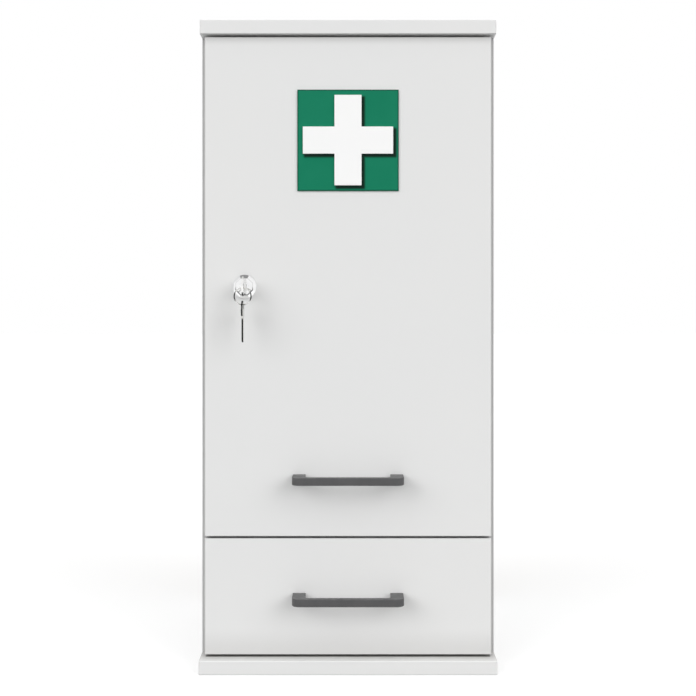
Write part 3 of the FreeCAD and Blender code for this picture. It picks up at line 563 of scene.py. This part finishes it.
def chrome(name, bevelled):
    """Polished plate with faint turning rings, which are a sine of the distance from the lock's axis."""
    f = Finish(name, (0.88, 0.883, 0.885), 0.06, 1.0)
    dx = f.calc("SUBTRACT", f.x, LOCK_X)
    dz = f.calc("SUBTRACT", f.z, LOCK_Z)
    smear = f.noise(120.0, 4.0)
    tone = f.mottle(smear, (0.865, 0.868, 0.87), (0.90, 0.902, 0.904), 0.35, 0.7)
    shine = f.step(smear, 0.3, 0.75, 0.04, 0.09)
    if bevelled:
        across, up = f.calc("ABSOLUTE", dx), f.calc("ABSOLUTE", dz)
        slant = f.calc("MULTIPLY", f.calc("ADD", across, up), math.sqrt(0.5))
        eight = f.calc("MAXIMUM", f.calc("MAXIMUM", across, up), slant)
        # Painted shade: a dark line in the groove round the face, darkest below.
        groove = f.line(eight, LOCK_FACE / 2 + GROOVE_OUT, GROOVE_HALF)
        groove_shade = f.calc("MULTIPLY", groove, f.step(dz, GROOVE_SHADE_FULL, GROOVE_SHADE_END, 0.92, 0.12))
        tone = f.blend(groove_shade, tone, (0.030, 0.030, 0.030))
        # Painted reflection: the flat of the bevel that faces up is painted grey.
        upward = f.step(facing(f)[2], 0.56, 0.66)
        tone = f.blend(upward, tone, (0.31, 0.31, 0.313))
        shine = f.calc("ADD", shine, f.calc("MULTIPLY", upward, 0.22))
    f.colour(tone)
    f.rough(shine)
    rings = wave(f, length(f, dx, dz), TURNING_PITCH)
    f.bump(f.calc("MULTIPLY", rings, smear), 0.015, 0.00003)
    return f


dress(chrome("rosette_chrome", True), "lock_rosette")
dress(chrome("lock_chrome", False), "lock_barrel", "lock_core")
print("lock at", round(LOCK_X, 4), round(LOCK_Z, 4))

# %% [markdown]
# Keys and ring are nickel plated, with faint brushing. The key in the lock keeps a bright rim, and its flat
# faces and underside are painted darker, as painted shade, the underside almost black. Each face could have a
# material of its own. Here the surface's direction in the key's own axes tells which face is which, so one
# finish does, and it turns with the key.

# %% Key in the lock
NICKEL_SHADE = (0.016, 0.016, 0.017)


def nickel(name, pale):
    """Brushed nickel and its plain tone, to which a key's painted shade, highlights and reflections are
    added.
    """
    f = Finish(name, pale, 0.24, 1.0)
    brush = f.noise(900.0, 3.0, stretched(f, (1.0, 0.06, 1.0)))
    tone = f.blend(brush, shaded(pale, 0.94), shaded(pale, 1.05))
    tone = f.blend(f.step(f.noise(70.0, 4.0), 0.45, 0.75, 0.0, 0.08), tone, shaded(pale, 0.75))
    f.rough(f.step(brush, 0.2, 0.8, 0.17, 0.26))
    f.bump(brush, 0.01, 0.00003)
    return f, tone


key, tone = nickel("key_nickel", (0.87, 0.868, 0.86))
sideways, _, upward = facing(key)
# Painted shade: the flat faces duller and the underside almost black.
tone = key.mottle(key.calc("ABSOLUTE", sideways), tone, (0.79, 0.785, 0.77), 0.55, 0.8)
underside = key.step(upward, -0.80, -0.55, 0.95, 0.0)
key.colour(key.blend(underside, tone, NICKEL_SHADE))
dress(key, "inserted_key")
print("key in the lock dressed")

# %% [markdown]
# The spare key's milled rim is painted dark, a painted reflection, except for a bright band, a painted
# highlight, and a band near the bow where it is a little lighter.
# Cutting the key into pieces would also part these places. Shares of its own length do it without a cut.

# %% Spare key
HIGHLIGHT_BAND, HIGHLIGHT_SOFT = (0.46, 0.36), 0.0012
LIGHTER_BAND, LIGHTER_BAND_SOFT = (0.22, 0.11), 0.0020


def part_of(f, shares, top, drop, soft):
    """1 on the part of a hanging piece between two shares of its drop, measured down from its top."""
    return f.between(f.z, top - shares[0] * drop, top - shares[1] * drop, soft)


low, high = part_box("spare_key")
drop = high[2] - low[2]
spare, tone = nickel("dark_rim_nickel", (0.66, 0.655, 0.63))
# Painted reflection: the rim dark, bright in the highlight band and a little lighter in the band near the
# bow.
dark = spare.step(spare.calc("ABSOLUTE", facing(spare)[0]), 0.55, 0.8, 0.99, 0.0)
highlight = part_of(spare, HIGHLIGHT_BAND, high[2], drop, HIGHLIGHT_SOFT)
wear_and_lighter_band = spare.calc("MULTIPLY", part_of(spare, LIGHTER_BAND, high[2], drop, LIGHTER_BAND_SOFT), 0.12)
for bright in (highlight, wear_and_lighter_band):
    dark = spare.calc("MULTIPLY", dark, spare.calc("SUBTRACT", 1.0, bright))
spare.colour(spare.blend(dark, tone, NICKEL_SHADE))
dress(spare, "spare_key")
print("spare key", round(drop, 4), "long")

# %% [markdown]
# The ring is painted dark to the left, to the right and at the foot, as painted reflections, and keeps its
# bright tone elsewhere. In a room it would pick these darks up from what stands around it. A white studio has
# nothing dark, so the finish has them, as shares of the ring's radius.

# %% Key ring
FLANK, FOOT = (0.74, 0.86), (0.06, 0.16)  # shares of the radius
low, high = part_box("key_ring")
reach = (high[0] - low[0]) / 2
ring, tone = nickel("ring_nickel", (0.70, 0.695, 0.675))
sideways = ring.calc("ABSOLUTE", ring.calc("SUBTRACT", ring.x, low[0] + reach))
# Painted reflections: dark flanks and a dark foot.
flank = ring.step(sideways, FLANK[0] * reach, FLANK[1] * reach)
foot = ring.step(ring.z, low[2] + FOOT[0] * reach, low[2] + FOOT[1] * reach, 0.8, 0.0)
ring.colour(ring.blend(ring.calc("MAXIMUM", flank, foot), tone, (0.040, 0.040, 0.041)))
dress(ring, "key_ring")
print("ring", round(2 * reach, 4), "wide")

# %% [markdown]
# Hinges, lock case and fittings are zinc plated: a pale blue grey with soft crystals. One even grey would
# look like plastic. A cell pattern gives the crystals, and a broad noise clouds them with a warmer grey.

# %% Zinc fittings
zinc = Finish("zinc_plate", (0.62, 0.64, 0.66), 0.34, 1.0)
crystal = zinc.step(zinc.cells(420.0), 0.1, 0.8)
cloud = zinc.step(zinc.noise(40.0, 4.0), 0.3, 0.7)
tone = zinc.blend(crystal, (0.56, 0.58, 0.61), (0.68, 0.69, 0.70))
zinc.colour(zinc.blend(zinc.calc("MULTIPLY", cloud, 0.35), tone, (0.66, 0.645, 0.60)))
zinc.rough(zinc.step(zinc.calc("ADD", crystal, cloud), 0.2, 1.6, 0.26, 0.44))
zinc.bump(crystal, 0.05, 0.00008)
dress(zinc, "hinge_plates", "hinge_arms", "hinge_cups", "hinge_pins", "lock_nut", "lock_case", "lock_bolt",
      "strike_plate", "cam_locks", "cam_bolts", "shelf_pins", "door_handle_screws", "drawer_handle_screws")
print("finishes so far", len(finishes))

# %% [markdown]
# What is left are the white runners, scratched along their length by the nylon rollers, which carry a little
# grime, two clear soft buffers that quieten the door, and the beech dowels inside the joints. They are hardly
# seen, even with the drawer or the door open, so one pattern each is enough.

# %% Runners, rollers, buffers and dowels
RUNNER_WHITE = (0.80, 0.80, 0.79)
paint = Finish("runner_paint", RUNNER_WHITE, 0.38, Specular_IOR_Level=0.45)
wear_and_lighter_band = paint.step(paint.noise(420.0, 3.0, stretched(paint, (1.0, 0.03, 1.0))), 0.58, 0.74)
paint.colour(paint.blend(paint.calc("MULTIPLY", wear_and_lighter_band, 0.35), RUNNER_WHITE, (0.46, 0.46, 0.45)))
paint.rough(paint.step(wear_and_lighter_band, 0.0, 1.0, 0.38, 0.52))
paint.bump(paint.noise(1300.0, 2.0), 0.10, 0.0001)
dress(paint, "left_cabinet_rail", "right_cabinet_rail", "left_drawer_rail", "right_drawer_rail")

nylon = Finish("roller_nylon", (0.70, 0.70, 0.68), 0.42, Subsurface_Weight=0.15, Subsurface_Scale=0.003)
grime = nylon.step(nylon.noise(150.0, 4.0), 0.5, 0.8)
nylon.colour(nylon.blend(nylon.calc("MULTIPLY", grime, 0.4), (0.72, 0.72, 0.70), (0.45, 0.44, 0.41)))
nylon.rough(nylon.step(grime, 0.0, 1.0, 0.38, 0.55))
dress(nylon, "front_rollers", "rear_rollers")

buffer = Finish("clear_buffer", (0.80, 0.80, 0.78), 0.22, Transmission_Weight=0.55, IOR=1.45)
haze = buffer.noise(400.0)
buffer.colour(buffer.blend(haze, (0.74, 0.74, 0.72), (0.86, 0.86, 0.84)))
buffer.rough(buffer.step(haze, 0.3, 0.7, 0.16, 0.32))
dress(buffer, "door_bumpers")

beech = Finish("beech", (0.62, 0.45, 0.28), 0.6, Specular_IOR_Level=0.25)
growth = beech.noise(260.0, 4.0, stretched(beech, (0.2, 1.0, 0.2)))
beech.colour(beech.mottle(growth, (0.50, 0.33, 0.19), (0.66, 0.48, 0.31), 0.35, 0.65))
beech.bump(growth, 0.2, 0.0002)
dress(beech, "dowels")
print("nodes without a finish:", sorted(set(nodes) - set(finishes)))

# %% [markdown]
# New pieces are surfaces over a grid of rows and columns, worked out as whole arrays. Two helpers turn such
# a grid into a mesh. Where a grid's first and last rows shrink to a point, merging those points closes the
# poles, and the merged mesh then has its faces turned outwards.

# %% Grids and meshes
SHARP_ANGLE, WELD = math.radians(40.0), 1e-6


def grid_faces(rows, columns, closed):
    """Quads between neighbouring rows and columns; a closed grid joins its last column to the first."""
    wide = columns if closed else columns - 1
    row, column = np.meshgrid(np.arange(rows - 1), np.arange(wide), indexing="ij")
    here, below, right = row * columns, (row + 1) * columns, (column + 1) % columns
    return np.stack([here + column, below + column, below + right, here + right], axis=-1).reshape(-1, 4)


def surface(name, points, faces):
    """A mesh from points and quads, with doubles merged, faces outwards and edges over 40 degrees sharp."""
    mesh = bpy.data.meshes.new(name)
    mesh.from_pydata(points.reshape(-1, 3).tolist(), [], faces.tolist())
    shell = bmesh.new()
    shell.from_mesh(mesh)
    bmesh.ops.remove_doubles(shell, verts=shell.verts, dist=WELD)
    bmesh.ops.recalc_face_normals(shell, faces=shell.faces)
    shell.to_mesh(mesh)
    shell.free()
    mesh.shade_smooth()
    mesh.set_sharp_from_angle(angle=SHARP_ANGLE)
    piece = bpy.data.objects.new(name, mesh)
    scene.collection.objects.link(piece)
    return piece


print("quads of a grid of 3 by 4 points:", len(grid_faces(3, 4, False)))

# %% [markdown]
# Screws and cover caps are turned shapes. One could spin each by hand or use a modifier, but they are many
# and small, so each set is one surface: a half section is turned about every seat at once. Each screw is
# turned further than the one before, because no two slots end up alike in a workshop.

# %% Turned pieces
SPOKES = 32
SLOT_HALF, SLOT_FLANK = 0.17, 0.07  # shares of the head's radius
SLOT_REACH, SLOT_END = 0.62, 0.08
TWIST = 2.4  # radians from one screw to the next


def turned(name, places, outward, section, slot=0.0):
    """The half section's ring of radius r and height h, at angle t, lies at r cos t and r sin t in the
    seat's plane and h off it. A crossed slot lowers the crown where the lesser of the two is within its half
    width."""
    rings, heights = np.array(section).T
    angle = np.linspace(0.0, 2 * np.pi, SPOKES, endpoint=False)
    sides = np.abs(np.stack([np.cos(angle), np.sin(angle)])) * rings[:, None, None] / rings.max()
    near, far = sides.min(axis=1), sides.max(axis=1)
    cut = np.clip((SLOT_HALF - near) / SLOT_FLANK, 0.0, 1.0)
    cut = cut * np.clip((SLOT_REACH - far) / SLOT_END, 0.0, 1.0)
    height = heights[:, None] - slot * cut * (heights > 0.0)[:, None]
    places = np.array(places)
    turn = angle + TWIST * np.arange(len(places))[:, None, None]
    out = np.array(outward, float)
    across = np.roll(out, 1)
    along = np.cross(out, across)
    flat = np.cos(turn)[..., None] * across + np.sin(turn)[..., None] * along
    points = places[:, None, None] + flat * rings[:, None, None] + height[..., None] * out
    first = np.arange(len(places))[:, None, None] * len(rings) * SPOKES
    return surface(name, points, (first + grid_faces(len(rings), SPOKES, True)).reshape(-1, 4))


print("turned pieces have", SPOKES, "spokes")

# %% [markdown]
# The screws have a low crown with a crossed slot, an upright rim and a short shank. A fastener library would
# have threads too, but only the heads show. Screws are thought of in millimetres, so their sections and seats
# are written that way and turned into metres here.

# %% Screw shapes
MM = 0.001
CROWN_POINTS, CROWN_RIM, CROWN_ROUND = 12, 0.4, 0.95


def box_mm(node):
    """Lower and upper corner of a CAD node, in millimetres."""
    return np.array(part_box(node)) / MM


def screw(radius, height, shank_radius, shank_length):
    """Half section from crown to tip: a flat arc for the crown, then the rim, the seat and the shank."""
    share = np.linspace(0.0, 1.0, CROWN_POINTS)
    arc = CROWN_RIM + (1.0 - CROWN_RIM) * np.sqrt(1.0 - CROWN_ROUND * share ** 2)
    crown = np.stack([radius * share, height * arc], axis=1)
    stem = [(radius, 0.0), (shank_radius, 0.0), (shank_radius, -shank_length), (0.0, -shank_length)]
    return np.concatenate([crown, stem]) * MM


def every(xs, ys, zs):
    """All the places whose coordinates, in millimetres, come from the three lists."""
    return np.stack(np.meshgrid(xs, ys, zs, indexing="ij"), axis=-1).reshape(-1, 3) * MM


def seat(piece, body, finish):
    """Puts a new piece on its body, with its finish."""
    piece.data.materials.append(finish.material)
    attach(piece, body)
    print(piece.name, "rides", body, "faces", len(piece.data.polygons))


print("points in a half section", len(screw(3.0, 1.0, 1.0, 1.0)))

# %% [markdown]
# Hinges, lock case and strike have their screws where such fittings have them. A list of places would do, but
# it would not follow a change of the fittings, so each place is measured from its fitting's box.

# %% Screws of hinges, lock and strike
LEFTWARD, RIGHTWARD, REARWARD = (-1, 0, 0), (1, 0, 0), (0, 1, 0)
CUP_FLANGE, CUP_REACH, WING_REACH = 31.0, 24.0, 16.0
WING_THICK, WING_REAR = 2.0, 16.0
CASE_INSET, CASE_SIDE, STRIKE_INSET = 8.0, 8.5, 5.0

cup_low, cup_high = box_mm("hinge_cups")
wing_high = box_mm("hinge_plates")[1]
arm_low = box_mm("hinge_arms")[0]
case_low, case_high = box_mm("lock_case")
strike_low, strike_high = box_mm("strike_plate")
hinges = np.array([cup_low[2] + CUP_FLANGE, cup_high[2] - CUP_FLANGE])
both_ways = np.array([-1.0, 1.0])
cup_heights = np.add.outer(hinges, CUP_REACH * both_ways).ravel()
wing_heights = np.add.outer(hinges, WING_REACH * both_ways).ravel()
cup_middle = (cup_low[0] + cup_high[0]) / 2
wing_face, wing_depth = wing_high[0] - WING_THICK, wing_high[1] - WING_REAR
case_widths = [case_low[0] + CASE_SIDE, case_high[0] - CASE_INSET]
case_heights = [case_low[2] + CASE_INSET, case_high[2] - CASE_INSET]
strike_middle = (strike_low[1] + strike_high[1]) / 2
strike_heights = [strike_low[2] + STRIKE_INSET, strike_high[2] - STRIKE_INSET]
screw_sets = (  # name, body, outward direction, places, half section, depth of the slot
    ("hinge_cup_screws", "door", REARWARD, every([cup_middle], [cup_high[1]], cup_heights),
     screw(3.4, 1.6, 1.6, 1.2), 0.9),
    ("hinge_plate_screws", "carcass", LEFTWARD, every([wing_face], [wing_depth], wing_heights),
     screw(4.0, 2.0, 1.8, 2.0), 1.1),
    ("hinge_arm_screws", "carcass", LEFTWARD, every([arm_low[0]], [wing_depth], hinges),
     screw(3.8, 1.8, 1.8, 1.0), 1.0),
    ("lock_case_screws", "door", REARWARD, every(case_widths, [case_high[1]], case_heights),
     screw(3.6, 1.6, 1.6, 0.4), 0.9),
    ("strike_screws", "carcass", RIGHTWARD, every([strike_high[0]], [strike_middle], strike_heights),
     screw(3.0, 0.4, 1.6, 0.4), 0.3),
)
for name, body, outward, places, section, slot in screw_sets:
    seat(turned(name, places, outward, section, slot * MM), body, zinc)

# %% [markdown]
# The back is screwed all round into the carcass, with flat heads that sit almost flush. Sunk heads would need
# cuts in the board. The long screws that hold the pulls stand for the plain ones of the CAD model, so those
# are hidden.

# %% Screws of the back and of the pulls
BACK_INSET = 5.0
BACK_HEIGHTS, BACK_WIDTHS = [45.0, 205.0, 365.0, 525.0, 685.0, 835.0], [-120.0, 0.0, 120.0]
PULL_PITCH, PULL_HEAD = 128.0, 2.4

back_low, back_high = box_mm("back_panel")
upright = every([back_low[0] + BACK_INSET, back_high[0] - BACK_INSET], [back_high[1]], BACK_HEIGHTS)
level = every(BACK_WIDTHS, [back_high[1]], [back_low[2] + BACK_INSET, back_high[2] - BACK_INSET])
back_screws = turned("back_screws", np.concatenate([upright, level]), REARWARD, screw(3.2, 0.35, 1.5, 0.5),
                     0.3 * MM)
seat(back_screws, "carcass", zinc)

for body in ("door", "drawer"):
    node = body + "_handle_screws"
    low, high = box_mm(node)
    under_head = high[1] - PULL_HEAD
    places = every([-PULL_PITCH / 2, PULL_PITCH / 2], [under_head], [(low[2] + high[2]) / 2])
    section = screw(4.0, PULL_HEAD, 2.0, under_head - low[1])
    long_screws = turned(body + "_pull_screws", places, REARWARD, section, 1.2 * MM)
    seat(long_screws, body, zinc)
    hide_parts(node)

# %% [markdown]
# White plastic caps hide the connectors that lock the carcass together: two near the top on the inner face of
# each side, and four under the divider. A slice of a sphere would be too round at the rim. A cap is flat with
# a rolled edge, and six points draw its half section.

# %% Cover caps
CAM_RADIUS, CAP_DEPTHS, DIVIDER_CAPS = 7.5, [-104.0, 104.0], [-157.0, 157.0]
DOWNWARD = (0, 0, -1)
cap = np.array([(0.0, 1.2), (5.6, 1.2), (7.4, 1.05), (8.2, 0.7), (8.5, 0.0), (0.0, 0.0)]) * MM
cap_white = Finish("cap_plastic", RUNNER_WHITE, 0.34, Specular_IOR_Level=0.45)
sheen = cap_white.step(cap_white.noise(320.0), 0.3, 0.7)
cap_white.colour(cap_white.blend(sheen, (0.785, 0.785, 0.775), (0.81, 0.81, 0.80)))
cap_white.rough(cap_white.step(sheen, 0.0, 1.0, 0.30, 0.40))
cap_white.bump(cap_white.noise(1500.0, 2.0), 0.06, 0.0001)

left_wall = box_mm("left_side_panel")[1][0]
right_wall = box_mm("right_side_panel")[0][0]
cap_height = box_mm("cam_locks")[1][2] - CAM_RADIUS
divider_foot = box_mm("divider_shelf")[0][2]
for name, xs, z, outward in (
    ("left_caps", [left_wall], cap_height, RIGHTWARD), ("right_caps", [right_wall], cap_height, LEFTWARD),
    ("divider_caps", DIVIDER_CAPS, divider_foot, DOWNWARD),
):
    seat(turned(name, every(xs, CAP_DEPTHS, [z]), outward, cap), "carcass", cap_white)

# %% [markdown]
# Light. One large sky does it all, so that the front is as even as in a product photograph: a low base light,
# two strong soft lamps well to the left and the right, one overhead and a weak broad one behind. The two at
# the sides give the soft shadows that spread below and to both sides of the pulls. Real area lamps would also
# do, but near ones leave the top brighter than the bottom.

# %% Sky lamps
SKY_BASE = 0.245
SKY_LAMPS = (  # degrees to the right of the front, degrees up, narrowness, strength
    (-50.0, 25.0, 14.0, 4.17),
    (50.0, 25.0, 14.0, 4.17),
    (0.0, 78.0, 9.0, 1.07),
    (180.0, 35.0, 3.0, 0.66),
)

scene.view_settings.view_transform = "Standard"
world = bpy.data.worlds.new("studio")
scene.world = world
world.use_nodes = True
world.node_tree.nodes.clear()
sky = Network(world.node_tree)


def lamp_glow(direction, right, up, narrow, strength):
    """Strength times the cosine of the angle to the lamp, raised to narrow: a round soft lamp, far away."""
    right, up = math.radians(right), math.radians(up)
    node = sky.add("ShaderNodeVectorMath", operation="DOT_PRODUCT")
    sky.feed(node.inputs[0], direction)
    level = math.cos(up)
    sky.feed(node.inputs[1], (math.sin(right) * level, -math.cos(right) * level, math.sin(up)))
    cosine = sky.calc("MAXIMUM", node.outputs["Value"], 0.0)
    return sky.calc("MULTIPLY", sky.calc("POWER", cosine, narrow), strength)


direction = sky.add("ShaderNodeTexCoord").outputs["Generated"]
glow = SKY_BASE
for lamp in SKY_LAMPS:
    glow = sky.calc("ADD", glow, lamp_glow(direction, *lamp))
print("sky base", SKY_BASE, "and lamps", len(SKY_LAMPS))

# %% [markdown]
# The camera, and anything shiny, sees plain white instead of the lamps, which is what a studio's white sweep
# looks like. A white backdrop would do the same, but it would also throw light and shade the lamps.

# %% Sky as the camera sees it


def seen_rays(f):
    """1 for camera, glossy and transmission rays, which are the rays that see the white surroundings."""
    rays = f.add("ShaderNodeLightPath").outputs
    shiny = f.calc("MAXIMUM", rays["Is Glossy Ray"], rays["Is Transmission Ray"])
    return f.calc("MAXIMUM", rays["Is Camera Ray"], shiny)


def pick_shader(f, factor, first, second):
    """The first shader where factor is 0, the second where it is 1."""
    node = f.add("ShaderNodeMixShader")
    for socket, value in zip(node.inputs, (factor, first, second)):
        f.feed(socket, value)
    return node.outputs[0]


soft, white = [sky.add("ShaderNodeBackground") for _ in range(2)]
sky.feed(soft.inputs["Strength"], glow)
for background in (soft, white):
    background.inputs["Color"].default_value = (1.0, 1.0, 1.0, 1.0)
shown = pick_shader(sky, seen_rays(sky), soft.outputs[0], white.outputs[0])
sky.feed(sky.add("ShaderNodeOutputWorld").inputs[0], shown)
print("sky nodes", len(sky.tree.nodes))

# %% [markdown]
# The floor is a plain pale sheet. A curved sweep is what a studio has, but a flat one looks the same from the
# front. For the camera it is almost white and keeps the cabinet's shadow. The light it throws back up is that
# of a greyer floor, because a white one would fill the shadows under the pulls. It lies a hair below the
# cabinet, so that the two don't flicker through each other.

# %% Floor
FLOOR_HALF, FLOOR_LINES, FLOOR_LEVEL = 20.0, 9, -0.0002
FLOOR_LIFT, FLOOR_GREY = 0.28, (0.40, 0.40, 0.40, 1.0)

u, v = np.meshgrid(*2 * [np.linspace(-FLOOR_HALF, FLOOR_HALF, FLOOR_LINES)])
floor_points = np.stack([u, v, np.full_like(u, FLOOR_LEVEL)], axis=-1).reshape(-1, 3)
floor_faces = grid_faces(FLOOR_LINES, FLOOR_LINES, False)[:, ::-1]
floor_mesh = bpy.data.meshes.new("floor")
floor_mesh.from_pydata(floor_points.tolist(), [], floor_faces.tolist())
floor = bpy.data.objects.new("floor", floor_mesh)
scene.collection.objects.link(floor)

pale = Finish("floor_paint", (0.82, 0.82, 0.82), 0.9, Specular_IOR_Level=0.0)
pale.colour(pale.blend(pale.noise(1.5), (0.815, 0.815, 0.815), (0.825, 0.825, 0.825)))
lift, lifted, grey = [pale.add("ShaderNode" + kind) for kind in ("Emission", "AddShader", "BsdfDiffuse")]
lift.inputs["Strength"].default_value = FLOOR_LIFT
grey.inputs["Color"].default_value = FLOOR_GREY
pale.feed(lifted.inputs[0], pale.shader.outputs[0])
pale.feed(lifted.inputs[1], lift.outputs[0])
shown = pick_shader(pale, seen_rays(pale), grey.outputs[0], lifted.outputs[0])
pale.feed(pale.tree.nodes["Material Output"].inputs["Surface"], shown)
floor_mesh.materials.append(pale.material)
print("floor", floor.name, "faces", len(floor_mesh.polygons))

# %% [markdown]
# Only the low heads of the screws at the back stand out of the box of the solids.
